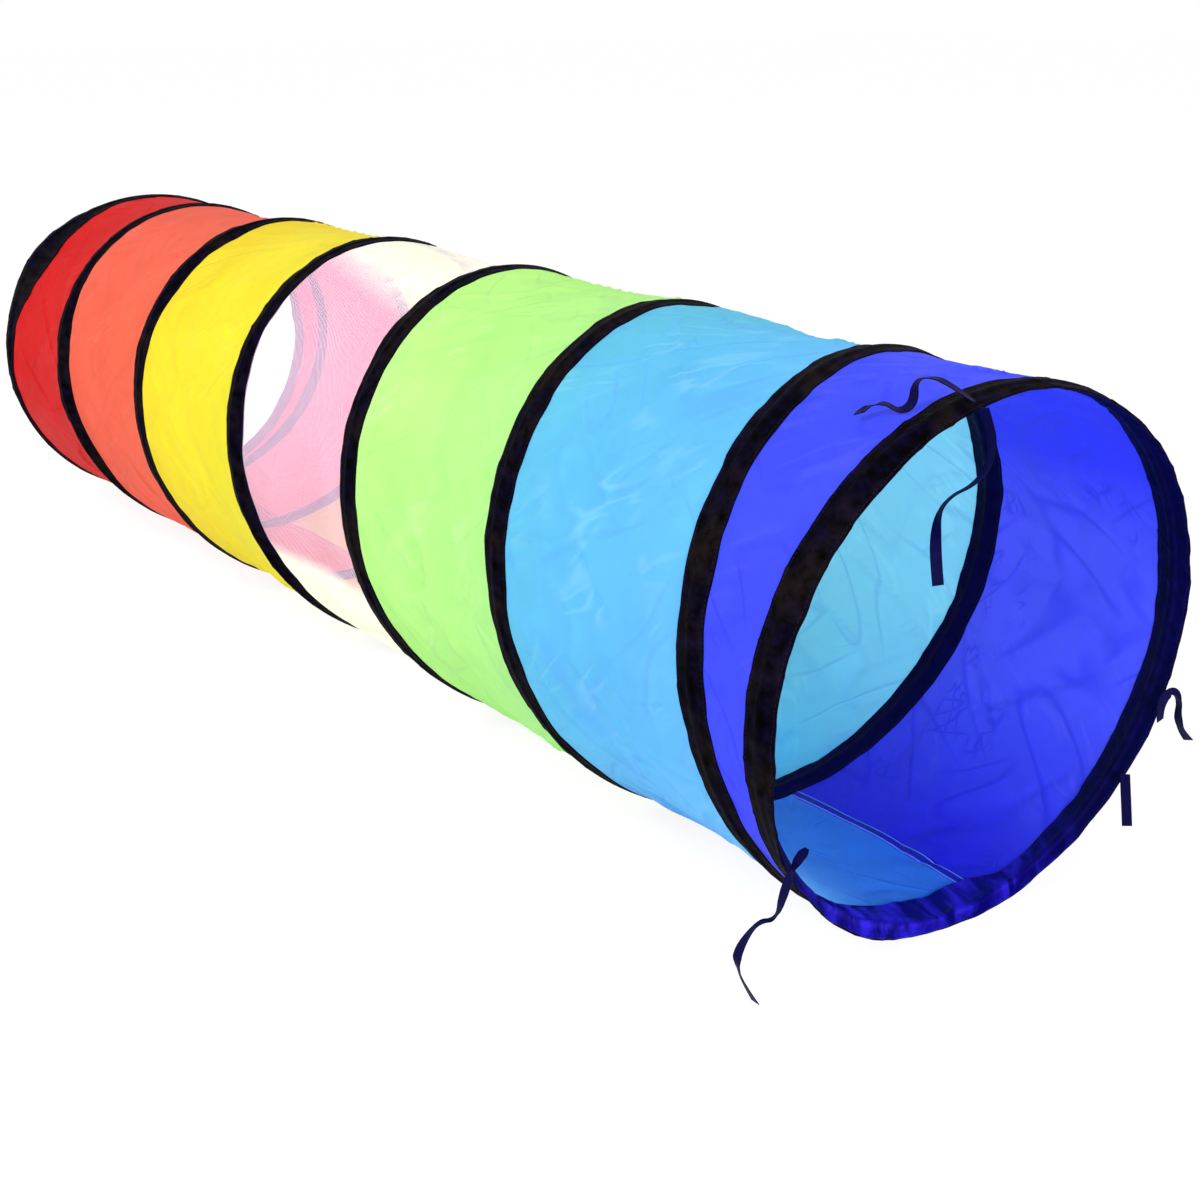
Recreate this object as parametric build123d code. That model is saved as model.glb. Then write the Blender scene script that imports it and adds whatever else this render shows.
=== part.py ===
"""Pop-up agility tunnel: spring-wire coil between two hoops, taped fabric skin, ribbon ties.

World frame: X along the tunnel with the near end at +X, Z up, Z = 0 on the floor.
Tunnel frame used while building: Z' runs from the near hoop to the far hoop, X' points down at
the floor and Y' to the -Y side, so an angle of 0 is the bottom line, 90 the -Y side, 180 the top.
"""
import os
from math import atan, cos, degrees, hypot, pi, radians, sin, sqrt, tan
from build123d import *

os.makedirs("parts", exist_ok=True)

# ---- driving dimensions, mm and degrees ----
TUNNEL_LENGTH = 1800.0    # between the hoop wires along the floor
COIL_RADIUS = 240.0       # centre line of the spring wire
PITCH = 298.0             # axial step of one coil turn
COIL_START = 5.0          # angle at which the coil leaves the near hoop
SEAM_ANGLE = -11.0        # the lengthwise seam, where the colours change
HOOP_LEAN = 3.2           # the near hoop's top leans out by this angle
TURNS = 6                 # nodes the coil is divided into
WIRE_DIA = 2.6            # spring wire, modelled as a hexagonal bar
WIRE_CLEARANCE = 0.4      # wire to its tape pocket
TAPE_THICKNESS = 0.8      # one layer of binding tape
TAPE_WIDTH = 34.0         # finished width of the taped edge
HUMP_TOP = 5.2            # flat top of the tape over the wire
HUMP_FOOT = 10.0          # width over which the tape rises
FABRIC_THICKNESS = 0.8    # polyester panels
GAP = 0.3                 # between sewn neighbours
FLAT_DEPTH = 1.15         # how far the tape is pressed flat on the floor
CRIMP_LENGTH = 22.0       # ferrule that closes the hoop and takes the coil's end
CRIMP_WALL = 0.5
SEAM_WIDTH = 12.0         # lengthwise seam binding
SEAM_THICKNESS = 1.2
RIBBON_WIDTH = 10.0
RIBBON_THICKNESS = 0.8

# ---- derived ----
wire_r = WIRE_DIA / 2
pocket = wire_r + WIRE_CLEARANCE
hump = pocket + 2 * TAPE_THICKNESS
edge = TAPE_WIDTH / 2
lean = radians(HOOP_LEAN)
floor_r = COIL_RADIUS + hump - FLAT_DEPTH
coil_end = COIL_START + 360 * TUNNEL_LENGTH / PITCH
crimp_half = wire_r + WIRE_CLEARANCE + CRIMP_WALL
big = 4 * COIL_RADIUS + TUNNEL_LENGTH

# the near hoop's sleeve reaches furthest at its top, the far hoop's at its outer edge
near_reach = (2 * COIL_RADIUS + TAPE_THICKNESS) * sin(lean) + edge * cos(lean)
hoop_x = (TUNNEL_LENGTH + edge + near_reach) / 2 - near_reach
world = Plane(origin=(hoop_x, 0, floor_r), x_dir=(0, 0, -1), z_dir=(-1, 0, 0)).location
near_plane = Plane(origin=(COIL_RADIUS * (1 - cos(lean)), 0, -COIL_RADIUS * sin(lean)),
                   x_dir=(cos(lean), 0, sin(lean)), z_dir=(-sin(lean), 0, cos(lean)))
far_plane = Plane(origin=(0, 0, TUNNEL_LENGTH), x_dir=(1, 0, 0), z_dir=(0, 0, 1))


def save(name, shape):
    """Place a shape in the world frame and write it as one node."""
    solid = world * shape
    solids = solid.solids()
    assert len(solids) == 1, (name, len(solids))
    export_step(solids[0], f"parts/{name}.step")


def axial(angle):
    """Distance of the coil from the near hoop's plane at a running angle."""
    return PITCH * (angle - COIL_START) / 360


def angle_at(distance):
    return COIL_START + 360 * distance / PITCH


def section(points):
    """Closed outline of (axial, radial) points round the wire's centre line."""
    flat = [(COIL_RADIUS + r, a) for a, r in points]
    return Plane.XZ * make_face(Polyline(*flat, close=True))


def along_coil(points, start, end):
    """Sweep an outline along the coil between two running angles."""
    turn = (end - start) / 360
    path = Helix(pitch=PITCH, height=PITCH * turn, radius=COIL_RADIUS)
    return Pos(0, 0, axial(start)) * Rot(0, 0, start) * sweep(section(points), path=path, is_frenet=True)


def round_hoop(points, plane):
    return plane.location * revolve(section(points), axis=Axis.Z, revolution_arc=360)


def slab(plane, low, high):
    """Everything between two distances along a plane's normal."""
    return plane.location * Pos(0, 0, (low + high) / 2) * Box(big, big, high - low)


def above_floor(shape):
    return shape - Pos(floor_r + big / 2, 0, TUNNEL_LENGTH / 2) * Box(big, big, 2 * big)


def hexagon(radius):
    return [(radius * cos(radians(60 * i)), radius * sin(radians(60 * i))) for i in range(6)]


def block(axial_low, axial_high, radial, length, angle):
    """A box lying along the hoop at an angle, in the hoop's own frame."""
    mid = (axial_low + axial_high) / 2
    return Rot(0, 0, angle) * Pos(COIL_RADIUS, 0, mid) * Box(2 * radial, length, axial_high - axial_low)


top, foot = HUMP_TOP / 2, HUMP_FOOT / 2
tape_outline = [(-edge, TAPE_THICKNESS), (-foot, TAPE_THICKNESS), (-top, hump), (top, hump),
                (foot, TAPE_THICKNESS), (edge, TAPE_THICKNESS), (edge, -TAPE_THICKNESS),
                (foot, -TAPE_THICKNESS), (top, -hump), (-top, -hump), (-foot, -TAPE_THICKNESS),
                (-edge, -TAPE_THICKNESS)]
core = TAPE_THICKNESS / 2
hump_outline = [(-foot, core), (-top, hump - 0.1), (top, hump - 0.1), (foot, core),
                (foot, -core), (top, 0.1 - hump), (-top, 0.1 - hump), (-foot, -core)]
pocket_outline = [(-pocket, -pocket), (pocket, -pocket), (pocket, pocket), (-pocket, pocket)]
tunnel_outline = [(0.95 * a, 0.95 * r) for a, r in pocket_outline]
gap_angle = degrees(GAP / COIL_RADIUS)

# ---- coil wire: one spring-steel wire, divided at each turn so that it can be drawn together ----
# the coil lies beside the hoop wire where the two are one wire and a clearance apart
lie_beside = WIRE_DIA + 2 * WIRE_CLEARANCE / 2
lead = 360 * lie_beside / PITCH
breaks = [COIL_START + 360 * i for i in range(TURNS)] + [coil_end]
for i in range(TURNS):
    first = COIL_START + lead if i == 0 else breaks[i] + gap_angle / 2
    last = coil_end - lead if i == TURNS - 1 else breaks[i + 1] - gap_angle / 2
    save(f"coil_wire_{i + 1}", along_coil(hexagon(wire_r), first, last))

# ---- coil sleeves: binding tape folded over the wire, one node per turn ----
for i in range(TURNS):
    first = breaks[i] + (gap_angle / 2 if i else 0)
    last = breaks[i + 1] - (gap_angle / 2 if i < TURNS - 1 else 0)
    sleeve = along_coil(tape_outline, first, last) - along_coil(pocket_outline, first - 1, last + 1)
    if i == 0:
        sleeve &= slab(near_plane, edge + GAP, 3 * PITCH)
    if i == TURNS - 1:
        sleeve &= slab(far_plane, -3 * PITCH, -edge - GAP)
    save(f"coil_sleeve_{i + 1}", above_floor(sleeve).solids().sort_by(SortBy.VOLUME)[-1])

# ---- hoops: closed wire ring, crimp and taped sleeve at each end ----
crimp_angle = degrees(CRIMP_LENGTH / COIL_RADIUS)
merge = 360 * (edge + 2 * foot) / PITCH           # the coil is inside the hoop's tape up to here
for end, plane, side in (("near", near_plane, 1), ("far", far_plane, -1)):
    tip = COIL_START if side > 0 else coil_end    # where the coil would meet the hoop
    coil_core = along_coil(hexagon(wire_r + WIRE_CLEARANCE), *sorted((tip, tip + side * merge)))
    span = sorted((tip + side * (lead + 1), tip + side * merge))
    coil_pocket = along_coil(tunnel_outline, *span)
    coil_hump = along_coil(hump_outline, *span)
    ring = round_hoop(hexagon(wire_r), plane)
    save(f"{end}_hoop_wire", ring)

    at = tip + side * (lead + crimp_angle / 2)    # middle of the crimp
    reach = abs(axial(at + side * crimp_angle / 2) - axial(tip)) + crimp_half
    low, high = sorted((-side * crimp_half, side * reach))
    crimp = plane.location * block(low, high, crimp_half, CRIMP_LENGTH, at)
    crimp -= round_hoop(hexagon(wire_r + WIRE_CLEARANCE), plane)
    save(f"{end}_crimp", crimp - coil_core)

    room = GAP + WIRE_CLEARANCE / 2
    pad = plane.location * block(low - 3, high + 3, hump + 0.3, CRIMP_LENGTH + 8, at)
    bay = plane.location * block(low - room, high + room, crimp_half + room, CRIMP_LENGTH + 2 * room, at)
    sleeve = round_hoop(tape_outline, plane) + (coil_hump & slab(plane, -edge, edge)) + pad
    sleeve = sleeve - round_hoop(pocket_outline, plane) - coil_pocket - bay
    save(f"{end}_hoop_sleeve", above_floor(sleeve))

# ---- fabric panels: helical strips between the taped edges, joined along the seam ----
names = ["dark_blue", "light_blue", "green", "mesh", "yellow", "orange", "red"]
half_fabric = FABRIC_THICKNESS / 2
# the outline spans from this turn of the coil back to the one before it
panel_outline = [(edge + GAP - PITCH, -half_fabric), (-edge - GAP, -half_fabric),
                 (-edge - GAP, half_fabric), (edge + GAP - PITCH, half_fabric)]


def helical_panel(angles, keep):
    """Lengths of strip laid end to end, each cut to what it keeps, then joined."""
    lengths = [along_coil(panel_outline, a, b) for a, b in zip(angles, angles[1:])]
    panel = lengths[0] & keep[0] if keep[0] else lengths[0]
    for length, region in zip(lengths[1:], keep[1:]):
        panel += length & region if region else length
    return panel


beyond_near = slab(near_plane, edge + GAP, 3 * PITCH)
before_far = slab(far_plane, -3 * PITCH, -edge - GAP)
for i, name in enumerate(names):
    start = SEAM_ANGLE + 360 * i + gap_angle / 2
    end = start + 360 - gap_angle
    if i == 0:                                    # tapers from nothing beside the near hoop
        first = angle_at(TAPE_WIDTH)
        panel = helical_panel([first + (end - first) * k / 5 for k in range(6)], [beyond_near] * 5)
    elif i == 1:                                  # its first corner meets the near hoop's tape
        panel = helical_panel([start, COIL_START + 368, end], [beyond_near, None])
    elif i == len(names) - 1:                     # tapers to nothing beside the far hoop
        last = angle_at(TUNNEL_LENGTH - TAPE_WIDTH) + 360
        panel = helical_panel([start + (last - start) * k / 6 for k in range(7)], [before_far] * 6)
    else:
        panel = helical_panel([start, end], [None])
    save(f"panel_{name}", panel)

# ---- seam bindings: tape inside the lengthwise seam, from one taped edge to the next ----
slant = SEAM_WIDTH / 2 * PITCH / (2 * pi * COIL_RADIUS)
for i in range(1, len(names)):
    high = axial(SEAM_ANGLE + 360 * i) - edge - slant - GAP
    low = max(axial(SEAM_ANGLE + 360 * (i - 1)) + slant, 0) + edge + GAP
    strip = Pos(COIL_RADIUS - half_fabric - GAP - SEAM_THICKNESS / 2, 0, (low + high) / 2)
    strip *= Box(SEAM_THICKNESS, SEAM_WIDTH, high - low)
    save(f"seam_{i}", Rot(0, 0, SEAM_ANGLE) * strip)


# ---- ribbon ties sewn to the near hoop, their flat side across the route ----
def ribbon(name, route, plane):
    """Strip of straight runs joined by tangent arcs, drawn in a plane and centred on it."""
    pts = [Vector(x, y) for x, y in route]
    parts, here, radii, length = [], pts[0], [], 0.0
    for a, b, c in zip(pts, pts[1:], pts[2:]):
        u, v = (b - a).normalized(), (c - b).normalized()
        turn = radians(u.get_angle(v))
        run = min((b - a).length, (c - b).length)
        radius = 0.45 * run / tan(turn / 2)
        cut = 0.45 * run
        arc_in, arc_out = b - u * cut, b + v * cut
        parts += [Line(here, arc_in), TangentArc(arc_in, arc_out, tangent=u)]
        length += (arc_in - here).length + radius * turn
        radii.append(radius)
        here = arc_out
    parts.append(Line(here, pts[-1]))
    length += (pts[-1] - here).length
    path = Wire([edge_ for part in parts for edge_ in part.edges()])
    across = Plane(origin=path @ 0, x_dir=(0, 0, 1), z_dir=path % 0)
    strip = sweep(across * Rectangle(RIBBON_WIDTH, RIBBON_THICKNESS), path=path)
    print(f"{name}: length {length:.1f}, least radius {min(radii):.1f}, volume {strip.volume:.1f}"
          f" of {length * RIBBON_WIDTH * RIBBON_THICKNESS:.1f}")
    save(name, plane.location * strip)


# routes start on the hoop's rim and step on from there: (towards the bottom, towards the -Y side)
front = near_plane.offset(-edge - GAP - RIBBON_WIDTH / 2)
ties = {
    "tie_top_inner": (166.3, [(14, -8), (17, -7), (20, 3), (11, 15), (4, 22), (13, 12), (23, 0),
                              (21, -4), (16.3, -4)]),
    "tie_lower_near": (62.4, [(9, 11), (15, 6.5), (14, 4.5), (17, 5), (-3, 19), (12, 13), (15, 7),
                              (15, -5), (17, -9), (16, -10)]),
    "tie_side_far": (293.3, [(-18.5, 5), (-10.5, -16), (14, -13), (18, -1), (16, -9), (12, -13)]),
    "tie_lower_far": (307.5, [(16, -4), (21, -5.5), (20, -5)]),
}
starts = {"tie_top_inner": 0.6, "tie_lower_near": -13.2, "tie_side_far": -0.6, "tie_lower_far": -11.8}
for name, (angle, steps) in ties.items():
    rim = COIL_RADIUS + starts[name]
    route = [(rim * cos(radians(angle)), rim * sin(radians(angle)))]
    for down, left in steps:
        route.append((route[-1][0] + down, route[-1][1] + left))
    ribbon(name, route, front)

# the outer tail of the top tie lies over the taped edge and arches onto the fabric
tail_x, tail_y = 13.0, 57.0                       # from the hoop's wire, at its top
seat = sqrt((COIL_RADIUS + TAPE_THICKNESS) ** 2 - (tail_y - RIBBON_WIDTH / 2) ** 2)
top_shift = 2 * COIL_RADIUS * sin(lean) + tail_x
over = Plane(origin=(-seat, tail_y, -top_shift), x_dir=(0, 0.594, 0.804), z_dir=(0, -0.804, 0.594))
tail_steps = [(17, 11), (16, 6), (13, -6), (2, -15), (10, -6.5), (12, 5.5), (12, -4), (10.5, -6.5)]
route = [(0.0, -0.9)]
for along, up in tail_steps:
    route.append((route[-1][0] + along, route[-1][1] + up))
ribbon("tie_top_outer", route, over)
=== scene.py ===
import bpy, math
import numpy as np
from mathutils import Matrix, Vector


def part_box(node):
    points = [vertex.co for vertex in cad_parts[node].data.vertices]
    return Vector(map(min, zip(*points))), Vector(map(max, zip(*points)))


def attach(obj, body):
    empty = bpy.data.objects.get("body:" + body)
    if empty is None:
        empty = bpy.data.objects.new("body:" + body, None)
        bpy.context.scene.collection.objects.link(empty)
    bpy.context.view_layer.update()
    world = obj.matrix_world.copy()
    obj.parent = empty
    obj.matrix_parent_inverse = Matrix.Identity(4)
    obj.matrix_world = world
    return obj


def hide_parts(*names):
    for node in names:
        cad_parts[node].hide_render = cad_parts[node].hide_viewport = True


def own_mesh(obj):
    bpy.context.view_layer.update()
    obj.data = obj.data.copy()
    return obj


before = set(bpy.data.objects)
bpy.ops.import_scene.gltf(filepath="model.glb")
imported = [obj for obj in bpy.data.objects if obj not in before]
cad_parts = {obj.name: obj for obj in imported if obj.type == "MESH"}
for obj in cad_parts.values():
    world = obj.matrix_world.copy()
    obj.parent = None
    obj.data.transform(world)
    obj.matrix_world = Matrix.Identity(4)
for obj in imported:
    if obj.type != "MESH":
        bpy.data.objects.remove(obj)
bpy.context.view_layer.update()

TAU = 2 * math.pi

# ======== Spring wire ========
# One 2.6 mm spring-steel wire: a closed hoop at each end and six turns of coil between them.
# It lies in a pocket of the binding tape and never shows; every fabric part follows its line.
WIRE_R = 0.0013
PITCH, LENGTH = 0.298, 1.8            # axial step of a turn, hoop to hoop along the floor
START, LEAN = math.radians(5.0), math.radians(3.2)
SINKS = (1.05, 1.75)                  # how far along the tunnel the far end's sinking starts and ends
SINK, SPREAD = 0.024, 0.018           # the share by which it is lower, and wider
CLEAR = 0.0002                        # cloth on the floor lies this far above it
low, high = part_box("far_hoop_wire")
R = (high[1] - low[1]) / 2 - WIRE_R   # radius of the wire's centre line
AXIS_Z = (low[2] + high[2]) / 2
FAR_X = (low[0] + high[0]) / 2
NEAR_X = FAR_X + LENGTH
COIL_END = START + TAU * LENGTH / PITCH


def coil_s(phi):
    """Distance of the coil from the near hoop's foot, along the tunnel, at a running angle."""
    return PITCH * (phi - START) / TAU


def near_s(phi, r=R):
    """The same for the near hoop, whose top leans out."""
    return -math.tan(LEAN) * (R - r * np.cos(phi))


def smooth(value, start, end):
    """0 before start, 1 after end, smooth between them."""
    t = np.clip((value - start) / (end - start), 0, 1)
    return t * t * (3 - 2 * t)


def settle(points):
    """The far end sinks a little under its own weight and spreads; nothing is under the floor."""
    sunk = smooth(NEAR_X - points[..., 0], *SINKS)
    points[..., 1] *= 1 + SPREAD * sunk
    points[..., 2] = np.maximum(points[..., 2] * (1 - SINK * sunk), CLEAR)
    return points


def on_tunnel(s, phi, r):
    """World points from distance along the tunnel, angle from the bottom line and radius."""
    s, phi, r = np.broadcast_arrays(s, phi, r)
    return settle(np.stack([NEAR_X - s, -r * np.sin(phi), AXIS_Z - r * np.cos(phi)], -1))


def on_hoop(near, a, phi, r):
    """World points on an end hoop: offset towards the far end, angle and radius."""
    lean = LEAN if near else 0.0
    centre = np.array([NEAR_X + R * math.sin(lean), 0, AXIS_Z - R * (1 - math.cos(lean))] if near
                      else [FAR_X, 0, AXIS_Z])
    down = np.array([-math.sin(lean), 0, -math.cos(lean)])
    along = np.array([-math.cos(lean), 0, math.sin(lean)])
    a, phi, r = (np.asarray(v)[..., None] for v in np.broadcast_arrays(a, phi, r))
    return settle(centre + r * (np.cos(phi) * down - np.sin(phi) * np.array([0, 1, 0])) + a * along)


def noise(u, v, seed):
    """Smooth seeded value noise in -1..1 with features one unit long."""
    u, v = np.broadcast_arrays(np.asarray(u, float), np.asarray(v, float))
    i, j = np.floor(u), np.floor(v)
    f, g = u - i, v - j
    f, g = f * f * f * (f * (6 * f - 15) + 10), g * g * g * (g * (6 * g - 15) + 10)

    def corner(a, b):
        n = np.sin(a * 127.1 + b * 311.7 + seed * 74.7) * 43758.5453
        return 2 * (n - np.floor(n)) - 1

    return ((corner(i, j) * (1 - f) + corner(i + 1, j) * f) * (1 - g)
            + (corner(i, j + 1) * (1 - f) + corner(i + 1, j + 1) * f) * g)


def laid_out(along, over):
    """Cloth coordinates in metres, from the distances along a piece and over it."""
    return np.stack(np.broadcast_arrays(along, over), -1)


def grid(name, points, uv, closed=False, caps=False, slots=None):
    """Smooth quad mesh over rows of points. `closed` joins each row into a loop, and `uv` then has
    one column more than the points; `slots` gives each column's material index."""
    n, m = points.shape[:2]
    i = np.arange(n - 1)[:, None]
    j = np.arange(m if closed else m - 1)[None, :]
    k = (j + 1) % m
    corners = [(i, j, j), (i + 1, j, j), (i + 1, k, j + 1), (i, k, j + 1)]
    faces = np.stack([a * m + b for a, b, _ in corners], -1).reshape(-1, 4)
    loops = np.stack([uv[a + 0 * c, c + 0 * a] for a, _, c in corners], 2).reshape(-1, 2)
    index = np.broadcast_to(np.array(slots)[None, :] if slots is not None else 0 * j, (n - 1, j.size))
    polys, index = faces.tolist(), index.reshape(-1).tolist()
    if caps:
        polys += [list(range(m)), list(range((n - 1) * m, n * m))[::-1]]
        loops = np.concatenate([loops, uv[0, :m], uv[-1, :m]])
        index += [0, 0]
    mesh = bpy.data.meshes.new(name)
    mesh.from_pydata(points.reshape(-1, 3).tolist(), [], polys)
    mesh.uv_layers.new(name="cloth").data.foreach_set("uv", loops.ravel())
    mesh.polygons.foreach_set("material_index", index)
    mesh.polygons.foreach_set("use_smooth", [True] * len(polys))
    mesh.update()
    piece = bpy.data.objects.new(name, mesh)
    bpy.context.scene.collection.objects.link(piece)
    return piece


def dress(piece, body, materials, nodes=(), squash_x=None):
    """Give a piece its materials and body, and, when squash_x is given, a mesh of its own."""
    for material in materials:
        piece.data.materials.append(material)
    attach(piece, body)
    if nodes:
        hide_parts(*nodes)
    if squash_x is not None:
        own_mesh(piece)
    return piece


def turn_x(n):
    """Where the middle of turn n stands."""
    return NEAR_X - PITCH * (n - 0.5)


class Socket:
    """A shader socket on which ordinary arithmetic adds Math nodes."""

    def __init__(self, out):
        self.out, self.tree = out, out.id_data

    def node(self, kind, out=0, inputs={}, **settings):
        return add(self.tree, kind, out, inputs, **settings)

    def maths(self, operation, *values):
        return self.node("ShaderNodeMath", 0, dict(enumerate(values)), operation=operation)

    def __add__(self, other): return self.maths("ADD", self, other)
    def __sub__(self, other): return self.maths("SUBTRACT", self, other)
    def __mul__(self, other): return self.maths("MULTIPLY", self, other)
    def __rsub__(self, other): return self.maths("SUBTRACT", other, self)
    __radd__, __rmul__ = __add__, __mul__
    def wave(self): return self.maths("SINE", self)
    def size(self): return self.maths("ABSOLUTE", self)
    def least(self, other): return self.maths("MINIMUM", self, other)
    def most(self, other): return self.maths("MAXIMUM", self, other)

    def ramp(self, start, end):
        """0 before start, 1 after end, smooth between them."""
        return self.node("ShaderNodeMapRange", 0, {0: self, 1: start, 2: end},
                         interpolation_type="SMOOTHSTEP", clamp=True)

    def blend(self, first, second):
        """Colour between two colours by this value."""
        return self.node("ShaderNodeMix", 2, {0: self, 6: first, 7: second}, data_type="RGBA")


def add(tree, kind, out=0, inputs={}, **settings):
    """Add a node: settings first, then its socket values and links."""
    node = tree.nodes.new(kind)
    for key, value in settings.items():
        setattr(node, key, value)
    for key, value in inputs.items():
        if isinstance(value, Socket):
            tree.links.new(value.out, node.inputs[key])
        else:
            node.inputs[key].default_value = value
    return Socket(node.outputs[out])


def rgb(red, green, blue):
    """Linear colour from 0..255 display values."""
    return tuple(v / 3294.6 if v <= 10.31 else ((v / 255 + 0.055) / 1.055) ** 2.4
                 for v in (red, green, blue)) + (1.0,)


def material(name):
    """New node material with an empty tree and its output."""
    made = bpy.data.materials.new(name)
    made.use_nodes = True
    made.node_tree.nodes.clear()
    return made, made.node_tree, made.node_tree.nodes.new("ShaderNodeOutputMaterial")


def cloth_uv(tree):
    """Metres along and across the cloth, and the pair as a vector."""
    uv = add(tree, "ShaderNodeUVMap", uv_map="cloth")
    return *(uv.node("ShaderNodeSeparateXYZ", k, {0: uv}) for k in (0, 1)), uv


def mottle(uv, scale, detail=3.0):
    """Soft uneven clouds over the cloth."""
    return uv.node("ShaderNodeTexNoise", 0, {"Vector": uv, "Scale": scale, "Detail": detail,
                                             "Roughness": 0.55})


def bump(height, strength, distance):
    """The surface's normal, tipped by a height."""
    return height.node("ShaderNodeBump", 0, {"Height": height, "Strength": strength,
                                             "Distance": distance})


def shader(tree, inputs, kind="ShaderNodeBsdfPrincipled"):
    """One shader with its socket values and links."""
    return add(tree, kind, 0, inputs)


steel, tree, output = material("spring_steel")
place = add(tree, "ShaderNodeTexCoord", 3)
drawn = place.node("ShaderNodeTexNoise", 0, {"Vector": place, "Scale": 900.0, "Detail": 2.0})
tree.links.new(shader(tree, {
    "Base Color": drawn.blend(rgb(120, 122, 126), rgb(168, 170, 174)), "Metallic": 1.0,
    "Roughness": drawn * 0.2 + 0.28, "Normal": bump(drawn, 0.15, 0.0002)}).out, output.inputs[0])
for name in ("near_hoop_wire", "near_crimp"):
    for slot in bpy.data.objects[name].material_slots:
        slot.material = steel

ROUND = 8                             # points round a wire
WIRE_GIRTH, FERRULE_GIRTH = 0.008, 0.014
WIRE_GAP, STEP_GAP = 0.04, 0.001      # angles left free at the coil's ends, and between its turns
ring = np.linspace(0, TAU, ROUND + 1)[:-1]
phi = np.linspace(0, TAU, 181)[:, None]
loop = on_hoop(False, WIRE_R * np.sin(ring), phi, R + WIRE_R * np.cos(ring))
uv = laid_out(R * phi, np.linspace(0, WIRE_GIRTH, ROUND + 1))
dress(grid("far_hoop_ring", loop, uv, closed=True), "far_end", [steel], ["far_hoop_wire"])
# the ferrule is a flat oval tube, 22 mm long, pressed round both wires and nipped at its middle
low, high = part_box("far_crimp")
at = math.atan2(-(low[1] + high[1]) / 2, AXIS_Z - (low[2] + high[2]) / 2)
phi = at + np.linspace(-0.011, 0.011, 12)[:, None] / R
oval = on_hoop(False, 0.0034 * np.sin(ring) + FAR_X - (low[0] + high[0]) / 2, phi,
               R + 0.0021 * np.cos(ring) * (1 - 0.12 * (np.abs(phi - at) < 0.004 / R)))
uv = laid_out(R * phi, np.linspace(0, FERRULE_GIRTH, ROUND + 1))
dress(grid("far_ferrule", oval, uv, closed=True, caps=True), "far_end", [steel],
      ["far_crimp"])
breaks = [START + TAU * k for k in range(6)] + [COIL_END]
for n in range(1, 7):
    phi = np.linspace(breaks[n - 1] + (WIRE_GAP if n == 1 else STEP_GAP),
                      breaks[n] - (WIRE_GAP if n == 6 else STEP_GAP), 150)[:, None]
    wire = on_tunnel(coil_s(phi) + WIRE_R * np.sin(ring), phi, R + WIRE_R * np.cos(ring))
    uv = laid_out(R * phi, np.linspace(0, WIRE_GIRTH, ROUND + 1))
    dress(grid(f"wire_{n}", wire, uv, closed=True, caps=True), f"turn_{n}", [steel],
          [f"coil_wire_{n}"], turn_x(n))

# ======== Binding tape ========
# Black polyester tape, 34 mm wide, sewn inside and out over the wire and the edges of the fabric,
# so that the wire makes a ridge along its middle. Its inside is navy; two rows of stitches hold it.
EDGE = 0.017                          # half the tape's width
TAPE, RIDGE = 0.0009, 0.0033          # cloth standing off the middle surface, height over the wire
RIBS, STITCH, ROW = 0.0011, 0.0042, 0.0145   # spacing of ribs, of stitches, their rows from the middle
across = np.array([-1, -.985, -.94, -.89, -.85, -.8, -.7, -.57, -.45, -.35, -.27, -.2, -.13, -.06])
across = np.concatenate([across, [0], -across[::-1]])


def lift(arc, side, seed):
    """How far a tape's edge, and the fabric sewn into it, stands off the true round."""
    return 0.0011 * noise(arc / 0.05, side * 3.1, seed) + 0.0006 * noise(arc / 0.019, side * 5.7, seed + 1)


def ridge(a):
    """Height of the ridge that the wire makes along the tape's middle."""
    return (RIDGE - TAPE) * (0.55 * np.exp(-(a / 0.0042) ** 4) + 0.45 * np.exp(-(a / 0.0085) ** 2))


def extra(phi, near):
    """How much wider than usual an end hoop's tape is on the tunnel's side: at the near hoop's foot,
    where the coil's tape runs into it, and high on one side of the far hoop."""
    phi = (np.asarray(phi) + math.pi) % TAU - math.pi
    if near:
        return 0.021 * smooth(phi, -0.36, -0.1) * (1 - smooth(phi, 0.35, 0.95))
    return (0.036 * smooth(phi, 1.65, 2.2) * (1 - smooth(phi, 2.35, 2.95))
            - 0.006 * smooth(phi, 0.9, 1.2) * (1 - smooth(phi, 1.5, 1.7)))


def tilt(phi):
    """How steeply the coil's tape slopes in on its near side, where the cloth pulls hardest."""
    turns = [0, 1110, 1135, 1185, 1210, 1500, 1515, 1540, 1560, 1574, 1602, 1624, 1843, 1862, 1902, 1926]
    return np.interp(np.degrees(phi), turns,
                     [0, 0, .40, .36, 0, 0, -.14, -.14, 0, .36, .32, 0, 0, .44, .36, 0])


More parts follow.
